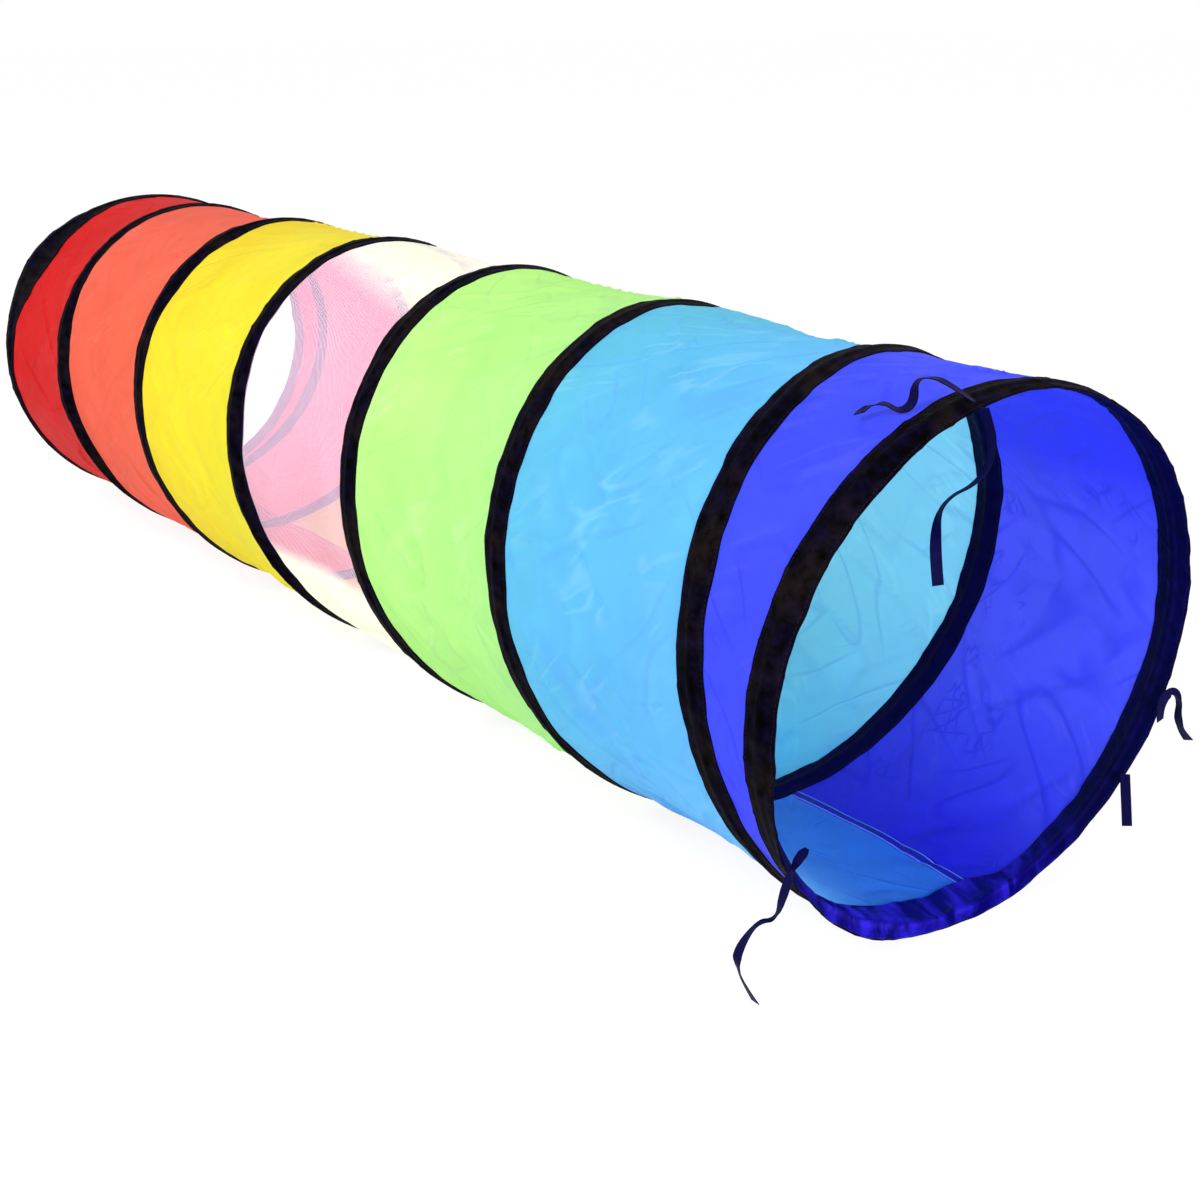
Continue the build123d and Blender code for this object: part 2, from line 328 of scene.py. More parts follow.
def tape_rows(arc, seed, second=None, crush=None, wider=0.0, wider_side=1, gathered=0.0):
    """Axial and radial offsets round the folded tape for each point along it: the outer layer from
    its near edge to its far edge, then the inner layer back. `second` is the axial offset of another
    wire under the same tape, `crush` how crumpled the tape is, and `gathered` how much its inside is
    drawn up in folds across it."""
    arc = arc[:, None]
    side = np.sign(across)[None, :]
    crush = np.ones_like(arc) if crush is None else crush[:, None]
    gathered = np.asarray(gathered).reshape(-1, 1)
    wide = EDGE + np.asarray(wider).reshape(-1, 1) * (side == wider_side)
    wide = wide * (1 + 0.07 * noise(arc / 0.06, side * 2.3, seed) + 0.05 * noise(arc / 0.018, side, seed))
    a = across[None, :] * wide
    flop = lift(arc, side, seed) * np.abs(across) ** 1.5
    groove = 1 - 0.45 * np.exp(-((np.abs(across) - 0.85) / 0.035) ** 2)
    thick = TAPE * groove * np.clip((1.02 - np.abs(across)) / 0.05, 0.3, 1)
    hump = ridge(a) if second is None else np.maximum(ridge(a), ridge(a - second[:, None]))
    soft = 1 - 0.75 * hump / RIDGE
    layers = []
    for sign in (1, -1):
        # gathers across the tape, short along it, and a few slanting creases
        gather = noise(arc / 0.0085 + sign * 9, a / 0.03, seed + 2) * (0.35 + 0.65 * np.abs(across))
        crease = 1 - np.abs(noise((arc + 1.3 * a) / 0.03, (a - 0.4 * arc) / 0.05, seed + 3 + sign))
        bulge = (0.0004 * gather + 0.0009 * crease ** 6) * soft * crush
        if sign < 0:
            fold = (0.6 * noise((arc + 0.6 * a) / 0.010, a / 0.06, seed + 6)
                    + noise((arc + 0.8 * a) / 0.021, a / 0.04, seed + 7))
            bulge = bulge + 0.0013 * np.maximum(fold, -0.05) * gathered
            hump = hump * (1 - 0.08 * gathered)
        layers.append(flop + sign * (thick + hump + np.clip(bulge, -0.4 * thick, 0.003)))
    return np.concatenate([a, a[:, ::-1]], 1), np.concatenate([layers[0], layers[1][:, ::-1]], 1)


def tape_uv(arc, width):
    """Metres along the tape; across it, the outer face is 0 to 1 and the inner face 2 to 3."""
    v = np.concatenate([(across + 1) / 2, 2 + (across[::-1] + 1) / 2, [2.0]])
    return laid_out(arc[:, None], v[None, :] * width)


def tape_material(name, dark, light, warm_sheen, gloss, rough, shine=None):
    """Ribbed polyester: cross ribs a millimetre apart, painted sheen in lighter lumps, and two stitch
    rows; with `shine`, a satin copy with painted highlight bands across the tape where it is gathered."""
    made, tree, output = material(name)
    u, v, uv = cloth_uv(tree)
    ribs = (u * (TAU / RIBS)).wave()
    wear_and_painted_light = mottle(uv, 85.0)
    patch = mottle(uv, 17.0, 2.0)
    inside = v - 4 * EDGE * v.maths("GREATER_THAN", v, 0.05)
    row = 1 - (((inside - EDGE).size() - ROW).size()).ramp(0.0003, 0.0006)
    stitch = row * (u * (TAU / STITCH)).wave().ramp(-0.5, 0.1)
    # painted sheen: where the noise lumps rise, the tape turns to its lighter violet and warm colours
    sheen_lump = (wear_and_painted_light * 0.9 + patch * 0.5 - 0.2).ramp(0.3, 0.72)
    colour = sheen_lump.blend(dark, patch.ramp(0.35, 0.65).blend(light, warm_sheen))
    colour = (stitch * 0.6).blend(colour, tuple(c * 1.6 + 0.009 for c in light[:3]) + (1,))
    height = ribs * 0.2 + wear_and_painted_light * 0.9 + stitch * 0.8 + patch * 0.5
    if shine:
        # painted highlight: bright and dark satin bands, laid on where the near hoop's inside is gathered
        # at its foot
        drawn = uv.node("ShaderNodeMapping", 0, {0: uv, 2: (0, 0, math.radians(34)), 3: (0.017, 0.05, 1)},
                        vector_type="TEXTURE")
        bands = drawn.node("ShaderNodeTexNoise", 0, {"Vector": drawn, "Scale": 1.0, "Detail": 3.0,
                                                     "Distortion": 0.6}).ramp(0.4, 0.68)
        drawn = add(tree, "ShaderNodeAttribute", 2, attribute_name="gathered") * 0.95
        colour = drawn.blend(colour, bands.blend(*shine))
        height = height + bands * drawn * 1.5
    tree.links.new(shader(tree, {
        "Base Color": colour, "Roughness": (1 - wear_and_painted_light * 0.35) * rough, "Specular IOR Level": gloss,
        "Normal": bump(height, 0.35, 0.0006)}).out, output.inputs[0])
    return made


# each tape's second and third colours are its painted sheen patches
tape_black = tape_material("tape_black", rgb(0, 0, 0), rgb(8, 4, 32), rgb(18, 12, 14), 0.015, 0.75)
tape_navy = tape_material("tape_navy", rgb(1, 0, 40), rgb(5, 2, 58), rgb(4, 1, 52), 0.03, 0.65)
# the navy inside of the near hoop again, with painted highlight bands at its foot
tape_navy_sheen = tape_material("tape_navy_sheen", rgb(1, 0, 42), rgb(6, 3, 66), rgb(4, 1, 58), 0.05, 0.5,
                           (rgb(7, 2, 100), rgb(44, 30, 198)))


def edge_near(phi):
    """Where the fabric comes out of the tape on its near side, at a running angle."""
    return np.maximum(coil_s(phi - TAU) + EDGE, near_s(phi) + EDGE + extra(phi, True))


def edge_far(phi):
    """Where it goes into the tape on its far side."""
    return np.minimum(coil_s(phi) - EDGE, LENGTH - EDGE - extra(phi, False))


def skin(phi, s, marks=False):
    """Radial offset of the fabric at a running angle and distance along the tunnel; with marks, how
    sharply it is creased there too."""
    first = edge_near(phi)
    last = edge_far(phi)
    span = np.maximum(last - first, 0.002)
    t = np.clip((s - first) / span, 0, 1)
    arc, gap = R * phi, np.minimum(s - first, last - s)
    full = np.clip(span / (PITCH - 2 * EDGE), 0, 1)
    waist = -0.0062 * np.sin(math.pi * t) ** 0.9 * full ** 1.4 * (0.95 - 0.05 * np.cos(phi))
    near_gap, far_gap = np.maximum(s - first, 0), np.maximum(last - s, 0)
    round_arc = R * ((phi + math.pi) % TAU - math.pi)
    held = (np.where(coil_s(phi - TAU) > near_s(phi), lift(arc - TAU * R, 1, 11),
                     lift(round_arc, 1, 31)) * np.exp(-near_gap / 0.03)
            + np.where(coil_s(phi) < LENGTH, lift(arc, -1, 11),
                       lift(round_arc, -1, 47)) * np.exp(-far_gap / 0.03)
            - tilt(phi) * (EDGE - np.maximum(s - last, 0)) * np.exp(-far_gap / 0.04))
    free = np.clip(gap / 0.03, 0, 1) ** 1.2
    pucker = (0.0008 * noise(arc / 0.018, s / 0.09, 3)
              * np.exp(-np.maximum(gap, 0) / 0.022) * np.clip(gap / 0.004, 0, 1))
    slow = (0.0026 * noise(arc / 0.11, s / 0.13, 5)
            + 0.0016 * noise((arc + 0.5 * s) / 0.045, (s - 0.5 * arc) / 0.11, 6))
    pulled = 1 - np.abs(noise((arc + 0.35 * s) / 0.055, (s - 0.35 * arc) / 0.19, 7))
    pulled2 = 1 - np.abs(noise((arc - 0.75 * s) / 0.06, (s + 0.75 * arc) / 0.16, 8))
    patch = np.clip(0.5 + noise(arc / 0.16, s / 0.12, 9), 0, 1)
    creases = 0.0036 * pulled ** 10 * patch + 0.0032 * pulled2 ** 10 * (1 - patch)
    fine = 0.0006 * noise(arc / 0.016, s / 0.024, 10)
    body = waist + held + pucker + free * (slow + creases + fine) * np.clip(full * 1.5, 0, 1)
    return (body, creases / 0.0036 * free) if marks else body


columns = len(across)
# the outer layer and both folded edges are black, the inner layer has a colour of its own
faces_out = [0] * columns + [1] * (columns - 1) + [0]
for n in range(1, 7):
    phi = np.linspace(breaks[n - 1], breaks[n], 330)
    arc = R * phi
    a, r = tape_rows(arc, 11)
    p = phi[:, None]
    r = r - tilt(p) * np.maximum(-a, 0)
    s = coil_s(p) + a
    s = np.maximum(s, near_s(p, R + r) + EDGE * 0.95 + (extra(p, True) if n == 1 else 0))
    s = np.minimum(s, LENGTH - EDGE * 0.95)
    points = on_tunnel(s, p, R + r)
    dress(grid(f"coil_tape_{n}", points, tape_uv(arc, 2 * EDGE), closed=True, caps=True, slots=faces_out),
          f"turn_{n}", [tape_black, tape_navy if n < 4 else tape_black],
          [f"coil_sleeve_{n}"], turn_x(n))

for near, name in ((True, "near"), (False, "far")):
    phi = np.linspace(-math.pi, math.pi, 800)
    arc = R * phi
    if near:
        meets = coil_s(phi) - near_s(phi)
        second = np.where((phi > START) & (meets < 0.042), meets, 0.0)
    else:
        end = (COIL_END + math.pi) % TAU - math.pi
        meets = PITCH * (phi - end) / TAU
        second = np.where((phi < end) & (meets > -0.03), meets, 0.0)
    crush = 1 - (0.5 if near else -0.6) * np.exp(-((phi - 0.25) / 0.55) ** 2)
    gathered = smooth(phi, -0.75, -0.2) * (1 - smooth(phi, 0.55, 1.05)) if near else 0 * phi
    a, r = tape_rows(arc, 31 if near else 47, second, crush, extra(phi, near), 1 if near else -1, gathered)
    if not near:
        # slack tape stands off the far hoop high on the near side, its outer layer the most
        high_up, reach = 2.33, 0.26
        slack = np.concatenate([smooth(a[:, :columns], -0.04, 0.014),
                                smooth(a[:, columns:], 0.003, 0.016)], 1)
        r = r + 0.007 * np.exp(-((phi[:, None] - high_up) / reach) ** 2) * slack
    if near:
        # its front half is drawn narrower where it stands on the floor
        drawn = smooth(phi, -1.4, -0.5) * (1 - smooth(phi, 0.1, 0.6))
        a = np.where(a < 0, a * (1 - 0.26 * drawn[:, None]), a)
        # the mouth's edge splays outwards low on the near side and curls inwards above it
        p = phi[:, None]
        splay = 0.46 * smooth(p, -0.1, 0.6) * (1 - smooth(p, 1.0, 1.5)) - 0.16 * smooth(p, 1.2, 1.9)
        r = r + splay * np.maximum(-a, 0) * smooth(-a, 0.001, 0.007)
        # and where the tape is wider it lies on the fabric
        own = lift(arc[:, None], 1, 31) * np.abs(np.concatenate([across, across[::-1]])) ** 1.5
        r = r + (skin(p + TAU * (p < 0.7), near_s(p) + a) - own) * smooth(a, 0.014, 0.022)
    # the two ends of the row meet at the top, so the last tenth runs into the first
    fade = np.clip((phi - math.pi + 0.3) / 0.3, 0, 1)[:, None]
    a, r = a + (a[:1] - a) * fade, r + (r[:1] - r) * fade
    points = on_hoop(near, a, phi[:, None], R + r)
    piece = grid(f"{name}_hoop_tape", points, tape_uv(arc, 2 * EDGE), closed=True, slots=faces_out)
    piece.data.attributes.new("gathered", "FLOAT", "POINT").data.foreach_set(
        "value", np.repeat(gathered, points.shape[1]))
    dress(piece, f"{name}_end", [tape_black, tape_navy_sheen if near else tape_navy],
          [f"{name}_hoop_sleeve"])
    if not near:
        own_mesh(piece)

# ======== Fabric strips ========
# Six helical strips of thin polyester, one colour to each turn and changing colour at the seam.
# They are stretched from one taped edge to the next, so they waist inwards and pucker at the tape.
SEAM = math.radians(-11.0)
UNDER = 0.006                         # how far the fabric runs in under the tape
PARTS, JOINS = 0.035, 0.033           # how far apart the wires are where a strip begins and ends
STEP, COLUMNS = 0.0046, 58            # spacing of the cloth's mesh along it, points across it
NET = 0.003                           # spacing of the net's threads


def folds(uv, turn, spacing, length, sharp, start):
    """Crease lines at an angle to the tunnel's length, by spacing and length in metres."""
    laid = uv.node("ShaderNodeMapping", 0, {0: uv, 1: (start, start, 0), 2: (0, 0, math.radians(turn)),
                                            3: (spacing, length, 1)}, vector_type="TEXTURE")
    lines = laid.node("ShaderNodeTexNoise", 0, {"Vector": laid, "Scale": 1.0, "Detail": 0.8,
                                                "Roughness": 0.4})
    return 1 - ((lines - 0.5).size()).ramp(0.0, sharp)


def fabric_material(name, colour, deep, through, glow, crease_shade, glint_strength, high=None):
    """Thin plain-weave polyester: light comes through it; it is mottled, has painted highlight along glint
    streaks, and painted shade along its creases and in clusters of short sharp crumple lines."""
    made, tree, output = material(name)
    u, v, uv = cloth_uv(tree)
    weave = (u * (TAU / 0.0009)).wave() * (v * (TAU / 0.0009)).wave()
    crinkle = mottle(uv, 55.0, 4.0)
    cloud = mottle(uv, 10.0)
    sparse = mottle(uv, 6.5, 1.0)
    glint_streak = (folds(uv, 38.0, 0.021, 0.075, 0.09, 0.7) * mottle(uv, 14.0, 1.0).ramp(0.46, 0.64)
              * (0.4 + 0.6 * sparse.ramp(0.40, 0.6)))
    shadow = (folds(uv, 41.0, 0.07, 0.26, 0.03, 3.1) * sparse.ramp(0.44, 0.56)).most(
        folds(uv, -47.0, 0.06, 0.22, 0.035, 6.7) * (1 - sparse.ramp(0.42, 0.54)))
    crumple_shade = (folds(uv, 62.0, 0.017, 0.06, 0.045, 5.3).most(folds(uv, -38.0, 0.020, 0.07, 0.045, 8.9))
               * mottle(uv, 8.0, 1.0).ramp(0.52, 0.66) * mottle(uv, 24.0, 1.0).ramp(0.44, 0.6))
    shade = (cloud * 0.8 + crinkle * 0.4 - 0.1).ramp(0.2, 0.8)
    pale = tuple(min(1, c * 1.03 + 0.012) for c in colour[:3]) + (1,)
    dim = tuple(c * 0.84 for c in colour[:3]) + (1,)
    tint = shade.blend(dim, pale)
    # painted highlight: the colour lightened along the glint streaks
    tint = (glint_streak * glint_strength).blend(tint, tuple(min(1, c + 0.22) for c in colour[:3]) + (1,))
    creased = add(tree, "ShaderNodeAttribute", 2, attribute_name="creased").ramp(0.05, 0.95)
    # painted shade: darker colour along creases, crease shadows and crumple lines, which also lets less
    # light through
    dark = (creased * 0.34).most(shadow * 0.62).most(crumple_shade * (0.62 * crease_shade)) * crease_shade
    tint = dark.blend(tint, tuple(c * 0.38 for c in colour[:2]) + (colour[2] * 0.75, 1))
    shaded = add(tree, "ShaderNodeAttribute", 2, attribute_name="shaded")
    let_through = (1 - shaded * 0.95) * (1 - dark * 0.5) * glow
    # painted shade: a deeper, more saturated colour high inside the mouth
    if high:
        shaded_high = add(tree, "ShaderNodeAttribute", 2, attribute_name="shaded_high")
        tint = (shaded_high * (1 - dark)).blend(tint, high)
        let_through = let_through * (1 - shaded_high * 0.6)
    # painted shade: a deeper colour where the shaded mark is set, deep inside by the seam
    tint = shaded.blend(tint, deep)
    normal = bump(crinkle * 0.7 + weave * 0.08 + glint_streak * 0.9 - shadow * 0.8 - crumple_shade * 0.7, 0.45, 0.0018)
    front = shader(tree, {"Base Color": tint, "Roughness": 0.42 + crinkle * 0.2, "Sheen Weight": 0.02,
                          "Sheen Roughness": 0.35, "Specular IOR Level": 0.14, "Normal": normal})
    back = shader(tree, {"Color": through, "Normal": normal}, "ShaderNodeBsdfTranslucent")
    both = add(tree, "ShaderNodeMixShader", 0, {0: let_through, 1: front, 2: back})
    tree.links.new(both.out, output.inputs[0])
    return made


def net_material(name):
    """White knitted net: threads 3 mm apart with open holes."""
    made, tree, output = material(name)
    u, v, _ = cloth_uv(tree)
    p = (u + v) * (TAU / 2 / NET)
    q = (u - v) * (TAU / 2 / NET)
    hole = (p.wave().size()).least(q.wave().size())
    thread = 1 - hole.ramp(0.34, 0.46)
    light_tinged = add(tree, "ShaderNodeAttribute", 2, attribute_name="light_tinged")
    # painted coloured light: the white net is tinted pink, and pale yellow above and below, by light from
    # the strips inside
    front = shader(tree, {"Base Color": light_tinged.blend(rgb(252, 212, 242), rgb(255, 255, 236)),
                          "Roughness": 0.6, "Alpha": (thread + light_tinged * 0.75).least(1) * 0.92 + 0.04,
                          "Normal": bump(thread, 0.4, 0.0004)})
    tree.links.new(front.out, output.inputs[0])
    return made


# colour, its painted shade colour deep inside by the seam, the light that comes through, how much of it
# does, how strong its painted crease shade and painted highlight streaks are, and its painted shade colour
# high inside the mouth
COLOURS = {"dark_blue": ((54, 66, 252), (20, 8, 190), (84, 96, 255), 0.55, 1.15, 0.14, (16, 28, 255)),
           "light_blue": ((112, 208, 255), (16, 82, 206), (132, 217, 255), 0.68, 0.8, 0.56),
           "green": ((196, 255, 144), (156, 232, 114), (200, 255, 148), 0.5, 0.35, 0.28), "mesh": None,
           "yellow": ((255, 236, 46), (225, 205, 40), (252, 250, 56), 0.5, 0.25, 0.2),
           "orange": ((255, 118, 84), (225, 88, 74), (255, 102, 116), 0.5, 0.35, 0.2),
           "red": ((222, 6, 6), (168, 10, 16), (226, 8, 20), 0.5, 0.5, 0.12)}


def cut_cloth(name, phi, first, last, count):
    """Mesh of a strip, or of a part of one, between two distances along the tunnel, with the marks
    that its material reads: where it is creased, for painted crease shade; painted shade deep by the seam
    and high in the mouth; and painted coloured light on the net."""
    over = np.linspace(0, 1, count)[None, :]
    s = first + (last - first) * over
    offset, creased = skin(phi, s, marks=True)
    piece = grid(name, on_tunnel(s, phi, R + offset), laid_out(R * phi, s))
    turned = np.degrees(phi) + 0 * s
    aslant = turned % 360 + np.where(turned % 360 > 100, -14, 4) * over
    marks = {"creased": creased,
             "shaded": np.interp(turned, [0, 50, 62, 85, 290, 340, 352, 380, 400, 425],
                                 [.8, .8, .45, 0, 0, .8, .9, .75, .4, 0]),
             "shaded_high": np.interp(turned, [180, 200, 236, 260], [0, .95, .9, 0]),
             # painted coloured light: the strips' colours tint the white net, pale yellow above and below,
             # pink between
             "light_tinged": np.interp(aslant, [0, 68, 73, 144, 156, 240, 300], [1, 1, 0, 0, .8, .8, 1])}
    for mark, value in marks.items():
        piece.data.attributes.new(mark, "FLOAT", "POINT").data.foreach_set("value", value.ravel())
    return piece


for k, (name, look) in enumerate(COLOURS.items()):
    begin, end = SEAM + TAU * k, SEAM + TAU * (k + 1)
    if k == 0:                        # from where the coil's tape parts from the hoop's
        begin = START + TAU * PARTS / PITCH
    if k == 6:                        # to where it runs into the far hoop's
        end = COIL_END + TAU * (1 - JOINS / PITCH)
    rows = int(R * (end - begin) / STEP)
    phi = np.linspace(begin, end, rows)[:, None]
    first, last = edge_near(phi) - UNDER, edge_far(phi) + UNDER
    finish = fabric_material(f"fabric_{name}", *(rgb(*c) for c in look[:3]), *look[3:6],
                             *(rgb(*c) for c in look[6:])) if look else net_material("net_white")
    body, anchor = ("near_end", NEAR_X) if k == 0 else (f"turn_{k}", turn_x(k))
    piece = cut_cloth(f"strip_{name}", phi, np.maximum(first, 0) if k == 0 else first, last, COLUMNS)
    dress(piece, body, [finish], [f"panel_{name}"], anchor)
    collar = []
    if k == 0:
        # the top of the near hoop leans out, and the cloth sewn to it there stays with the hoop
        held = phi[(first[:, 0] < -0.0004)]
        collar = [dress(cut_cloth("strip_dark_blue_collar", held, edge_near(held) - UNDER, 0 * held, 7),
                        body, [finish])]
    wide = (last - first)[:, 0] * R
    cut = float(((wide[1:] + wide[:-1]) / 2 * np.diff(phi[:, 0])).sum())

# ======== Lengthwise seam ========
# The strips' ends are joined along one line under the tunnel: a narrow felled ridge inside with a
# stitch row on each side of it, and two fine piped rows outside.
def seam_material(name, valley, rows):
    """Folded edges of the two strips, with a pale stitched row along each side of the ridge."""
    made, tree, output = material(name)
    u, v, uv = cloth_uv(tree)
    wear_and_painted_light = mottle(uv, 90.0)
    rowed = 1 - ((v - 0.006).size() - 0.0036).size().ramp(0.0002, 0.0007)
    # painted shadow: the valley colour at half strength, mottled over it by noise
    shadow = tuple(c * 0.5 for c in valley[:3]) + (1,)
    tree.links.new(shader(tree, {
        "Base Color": (rowed * 0.9).blend(wear_and_painted_light.blend(shadow, valley), rows),
        "Roughness": 0.55, "Specular IOR Level": 0.2,
        "Normal": bump(wear_and_painted_light + (u * (TAU / 0.0032)).wave() * 0.35, 0.4, 0.0006)}).out, output.inputs[0])
    return made


outline_out = np.array([(-6, .2), (-5, .9), (-4, 1.3), (-3, .9), (-1.5, .5), (0, .35), (1.5, .5), (3, .9),
                        (4, 1.3), (5, .9), (6, .2)]) / 1000
outline_in = np.array([(5, -.3), (4.4, -1.2), (3.2, -1.7), (1.8, -1.3), (0, -1.0), (-1.8, -1.3),
                       (-3.2, -1.7), (-4.4, -1.2), (-5, -.3)]) / 1000
outline = np.concatenate([outline_out, outline_in])
# each seam's valley colour, darker than the strips it joins as painted shade in its fold, and the pale
# colour of its stitched rows
joined = [(14, 18, 165), (90, 170, 225), (190, 215, 190), (215, 200, 120), (220, 120, 60), (190, 40, 40)]
stitched = [(92, 116, 244), (205, 245, 205), (240, 240, 235), (250, 240, 190), (255, 170, 140),
            (240, 120, 110)]
for k in range(1, 7):
    at = SEAM + TAU * k
    low_s, high_s = float(edge_near(at)) - 0.004, float(edge_far(at)) + 0.004
    s = np.linspace(low_s, high_s, 90)[:, None]
    sway = 0.0008 * noise(s / 0.05, 1.0, 71) * np.clip(np.minimum(s - low_s, high_s - s) / 0.03, 0, 1)
    slight = 1.0 if k < 3 else 0.7
    phi = at + (outline[None, :, 0] * slight + sway) / R
    flat = np.clip((np.minimum(s - low_s, high_s - s) - 0.003) / 0.006, 0.15, 1)
    r = R + skin(phi, s) + outline[None, :, 1] * flat * slight
    points = on_tunnel(s, phi, r)
    v = np.concatenate([outline[:, 0] + 0.005, [outline[0, 0] + 0.005]])
    uv = laid_out(s, v[None, :])
    body, anchor = ("near_end", NEAR_X) if k == 1 else (f"turn_{k - 1}", turn_x(k - 1))
    cloth = seam_material(f"seam_cloth_{k}", rgb(*joined[k - 1]), rgb(*stitched[k - 1]))
    dress(grid(f"seam_ridge_{k}", points, uv, closed=True, caps=True), body, [cloth],
          [f"seam_{k}"], anchor)

# ======== Ribbon ties ========
# Five short tails of navy satin ribbon, 10 mm wide, sewn to the near hoop in pairs to tie it shut.
# They hang loose, kinked where they were last knotted, and are cut off bare.
RIBBON = 0.0092


def ribbon_material():
    """Navy satin with a fine cross thread and a firm woven edge."""
    made, tree, output = material("ribbon_navy")
    u, v, uv = cloth_uv(tree)
    thread = (u * (TAU / 0.0007)).wave()
    wear_and_painted_light = mottle(uv, 130.0)
    hem = (v - RIBBON / 2).size().ramp(RIBBON * 0.38, RIBBON * 0.46)
    # the navy varies by noise between darker and lighter: partly its own uneven tone, partly painted satin
    # sheen
    tree.links.new(shader(tree, {
        "Base Color": (hem * 0.6).blend(wear_and_painted_light.blend(rgb(1, 0, 30), rgb(8, 3, 66)), rgb(1, 0, 26)),
        "Roughness": 0.45 + wear_and_painted_light * 0.2, "Specular IOR Level": 0.05,
        "Normal": bump(thread * 0.3 + wear_and_painted_light * 0.8 + hem * 0.6, 0.3, 0.0004)}).out, output.inputs[0])
    return made


satin = ribbon_material()
FRONT = Vector((0.66, -0.6, 0.45))
# each tie's route, and how far its broad side is turned from the front along its length
TIES = {
    "tie_top_inner": ([(0, 50), (0.3, 55), (0.42, 66), (0.56, 72), (0.63, 70), (0.69, 50), (0.75, 28),
                       (0.84, 4), (1, 0)], [
        (0.9353, -0.057, 0.4739), (0.9345, -0.049, 0.4599), (0.9336, -0.042, 0.443),
        (0.9325, -0.045, 0.423), (0.9318, -0.06, 0.412), (0.9316, -0.082, 0.4075),
        (0.931, -0.0945, 0.3965), (0.9296, -0.094, 0.3721), (0.9284, -0.09, 0.3511),
        (0.9275, -0.086, 0.3348)]),
    "tie_top_outer": ([(0, 62), (0.12, 56), (0.26, 52), (0.37, 72), (0.46, 56), (0.56, 34), (0.63, 30),
                       (0.7, 56), (0.8, 58), (0.86, 80), (0.93, 48), (1, 68)], [
        (0.9264, -0.057, 0.4764), (0.9127, -0.0671, 0.4874), (0.8998, -0.0766, 0.4944),
        (0.8884, -0.0846, 0.4904), (0.8888, -0.0852, 0.4714), (0.8797, -0.0915, 0.4649),
        (0.8701, -0.0986, 0.4719), (0.8604, -0.1057, 0.4669), (0.852, -0.112, 0.4609)]),
    "tie_lower_near": ([(0, 44), (0.03, 30), (0.08, 38), (0.12, 70), (0.17, 42), (0.24, 38), (0.3, 52),
                        (0.36, 78), (0.41, 68), (0.5, 72), (0.55, 60), (0.62, 40), (0.67, 36), (0.71, 66),
                        (0.75, 81), (0.88, 74), (1, 66)], [
        (0.9164, -0.201, 0.1356), (0.9159, -0.212, 0.1266), (0.9151, -0.2185, 0.1117),
        (0.9143, -0.223, 0.0977), (0.9133, -0.228, 0.0807), (0.9135, -0.247, 0.0837),
        (0.9128, -0.26, 0.0717), (0.912, -0.267, 0.0567), (0.9111, -0.262, 0.0418),
        (0.9102, -0.253, 0.0248), (0.9093, -0.243, 0.0088)]),
    "tie_side_far": ([(0, 40), (0.2, 22), (0.34, 34), (0.45, 77), (0.58, 64), (0.68, 54), (0.78, 75),
                      (1, 62)], [
        (0.917, 0.2199, 0.146), (0.918, 0.2149, 0.1645), (0.9186, 0.2309, 0.1749),
        (0.9178, 0.2439, 0.161), (0.9168, 0.2449, 0.143), (0.9159, 0.2539, 0.127),
        (0.9152, 0.2669, 0.115)]),
    "tie_lower_far": ([(0, 22), (1, 12)], [
        (0.9145, 0.181, 0.1018), (0.9136, 0.185, 0.0859), (0.9124, 0.1905, 0.0649),
        (0.9113, 0.1955, 0.0449)]),
}


def spline_points(name, route):
    """Points along the smooth line that has the route's points as its control points."""
    curve = bpy.data.curves.new(name, "CURVE")
    curve.dimensions = "3D"
    spline = curve.splines.new("NURBS")
    spline.points.add(len(route) - 1)
    for point, place in zip(spline.points, route):
        point.co = (*place, 1.0)
    spline.order_u, spline.use_endpoint_u, spline.resolution_u = 3, True, 10
    holder = bpy.data.objects.new(name, curve)
    bpy.context.scene.collection.objects.link(holder)
    bpy.context.view_layer.update()
    line = bpy.data.meshes.new_from_object(holder.evaluated_get(bpy.context.evaluated_depsgraph_get()))
    found = [v.co.copy() for v in line.vertices]
    bpy.data.objects.remove(holder)
    bpy.data.curves.remove(curve)
    bpy.data.meshes.remove(line)
    return found


section = np.array([(-.5, -.03), (-.47, .05), (-.36, .04), (0, .028), (.36, .04), (.47, .05), (.5, -.03),
                    (.47, -.05), (.36, -.028), (0, -.04), (-.36, -.028), (-.47, -.05)])
for name, (twist, route) in TIES.items():
    line = spline_points(name, route)
    steps = [0.0]
    for p, q in zip(line, line[1:]):
        steps.append(steps[-1] + (q - p).length)
    rows = []
    for i, p in enumerate(line):
        t = (line[min(i + 1, len(line) - 1)] - line[max(i - 1, 0)]).normalized()
        turn = math.radians(np.interp(steps[i] / steps[-1], *zip(*twist)))
        wide = Matrix.Rotation(turn, 3, t) @ t.cross(FRONT).normalized()
        flat = t.cross(wide)
        # the looped end of the lower near tie is rounded
        full = min(1.0, 0.55 + steps[i] / 0.009) if name == "tie_lower_near" else 1.0
        rows.append([p + wide * (RIBBON * full * a) + flat * (RIBBON * b) for a, b in section])
    points = np.array([[tuple(v) for v in row] for row in rows])
    points[..., 2] = np.maximum(points[..., 2], 0.0006)
    v = np.append(section[:, 0] + 0.5, 0) * RIBBON
    uv = laid_out(np.array(steps)[:, None], v[None, :])
    piece = grid(f"ribbon_{name[4:]}", points, uv, closed=True, caps=True)
    dress(piece, "near_end", [satin], [name])

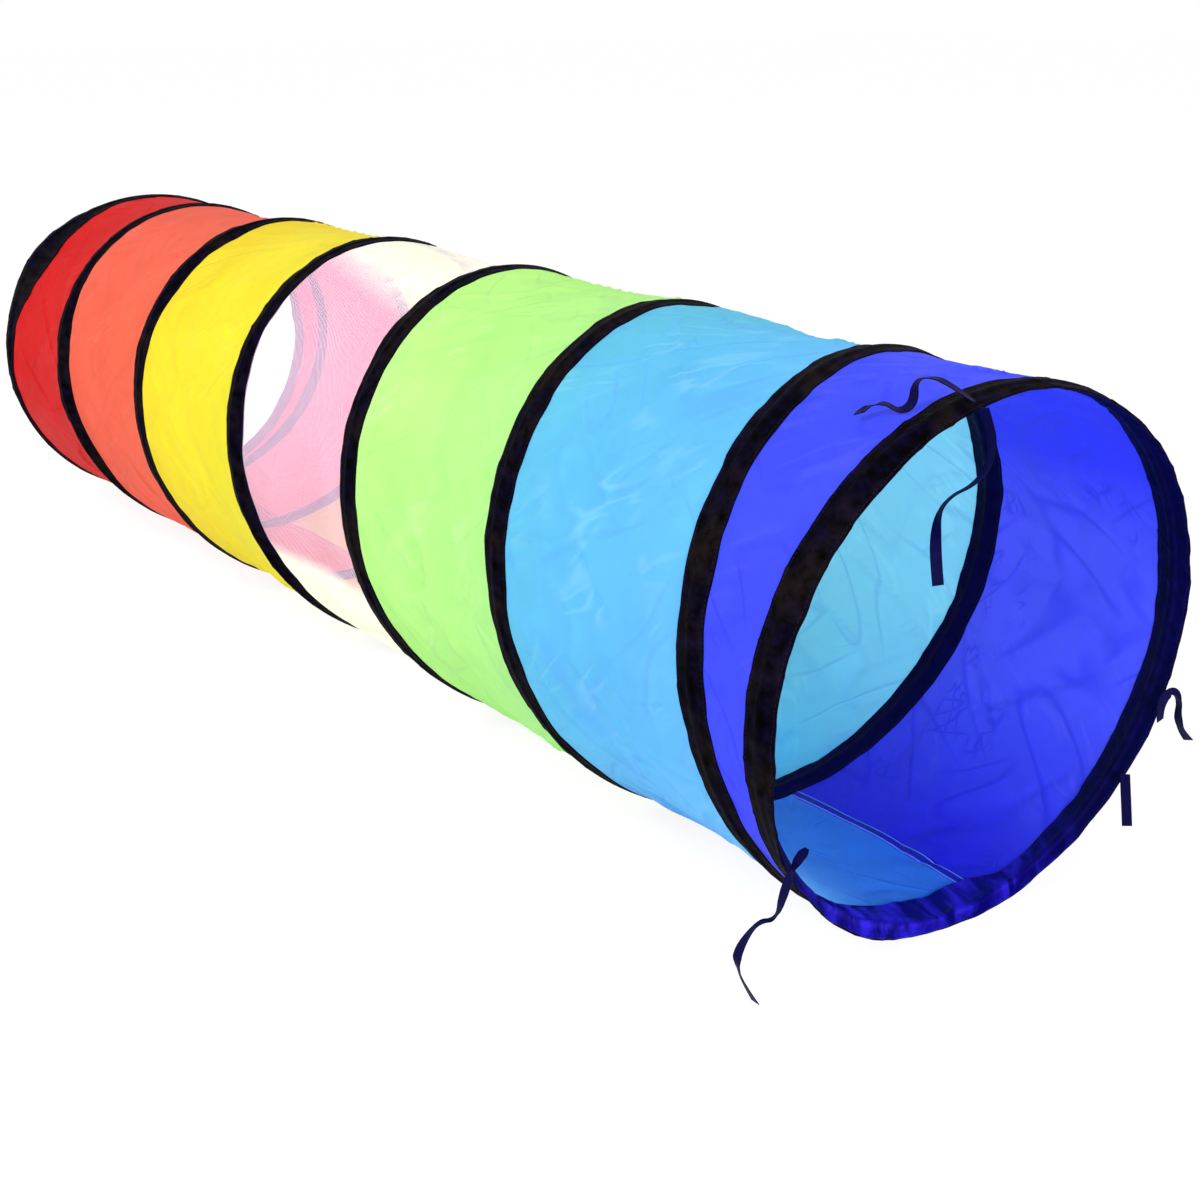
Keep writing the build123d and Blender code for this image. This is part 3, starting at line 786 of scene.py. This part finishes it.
# ======== Floor and light ========
# A plain pale floor that keeps the tunnel's soft shadow, a white surround and broad soft lamps.
mesh = bpy.data.meshes.new("floor")
mesh.from_pydata([(-30, -30, 0), (30, -30, 0), (30, 30, 0), (-30, 30, 0)], [], [(0, 1, 2, 3)])
floor = bpy.data.objects.new("floor", mesh)
bpy.context.scene.collection.objects.link(floor)
paint, tree, output = material("floor_pale")
look = add(tree, "ShaderNodeLightPath", 0)
shine = add(tree, "ShaderNodeLightPath", 3)
seen = look.most(shine)
matt = shader(tree, {"Color": (0.9, 0.9, 0.9, 1)}, "ShaderNodeBsdfDiffuse")
lit = shader(tree, {"Color": (1, 1, 1, 1), "Strength": 1.07}, "ShaderNodeEmission")
mixed = add(tree, "ShaderNodeMixShader", 0, {0: seen * 0.84, 1: matt, 2: lit})
tree.links.new(mixed.out, output.inputs[0])
mesh.materials.append(paint)

world = bpy.data.worlds.new("surround")
bpy.context.scene.world = world
world.use_nodes = True
tree = world.node_tree
tree.nodes.clear()
look = add(tree, "ShaderNodeLightPath", 0)
shine = add(tree, "ShaderNodeLightPath", 3)
glass = add(tree, "ShaderNodeLightPath", 6)
seen = look.most(shine).most(glass)
sky = shader(tree, {"Color": (1, 1, 1, 1), "Strength": seen * 0.34 + 0.66}, "ShaderNodeBackground")
tree.links.new(sky.out, tree.nodes.new("ShaderNodeOutputWorld").inputs[0])


def lamp(name, place, aim, size, power):
    """A square soft lamp at a place, turned to what it lights."""
    light = bpy.data.lights.new(name, "AREA")
    light.size, light.energy = size, power
    holder = bpy.data.objects.new(name, light)
    holder.location = place
    holder.rotation_euler = (Vector(aim) - Vector(place)).to_track_quat("-Z", "Y").to_euler()
    bpy.context.scene.collection.objects.link(holder)


lamp("key", (0.6, -2.8, 3.0), (0.0, 0, 0.2), 1.3, 120)
lamp("fill", (4.0, -0.7, 1.1), (0.5, 0.05, 0.2), 1.0, 115)

# ======== Camera ========
# It stands a metre in front of the near mouth, to one side, and looks down along the tunnel
# through a slightly long lens.
camera = bpy.data.cameras.new("camera")
camera.sensor_width, camera.lens = 36.0, 54.017
camera.clip_start, camera.clip_end = 0.05, 100
eye = bpy.data.objects.new("camera", camera)
eye.location = (1.87699, -1.0614, 0.77095)
yaw, pitch = math.radians(145.40), math.radians(18.55)
gaze = Vector((math.cos(pitch) * math.cos(yaw), math.cos(pitch) * math.sin(yaw), -math.sin(pitch)))
eye.rotation_euler = gaze.to_track_quat("-Z", "Y").to_euler()
bpy.context.scene.collection.objects.link(eye)
bpy.context.scene.camera = eye
bpy.context.scene.view_settings.view_transform = "Standard"
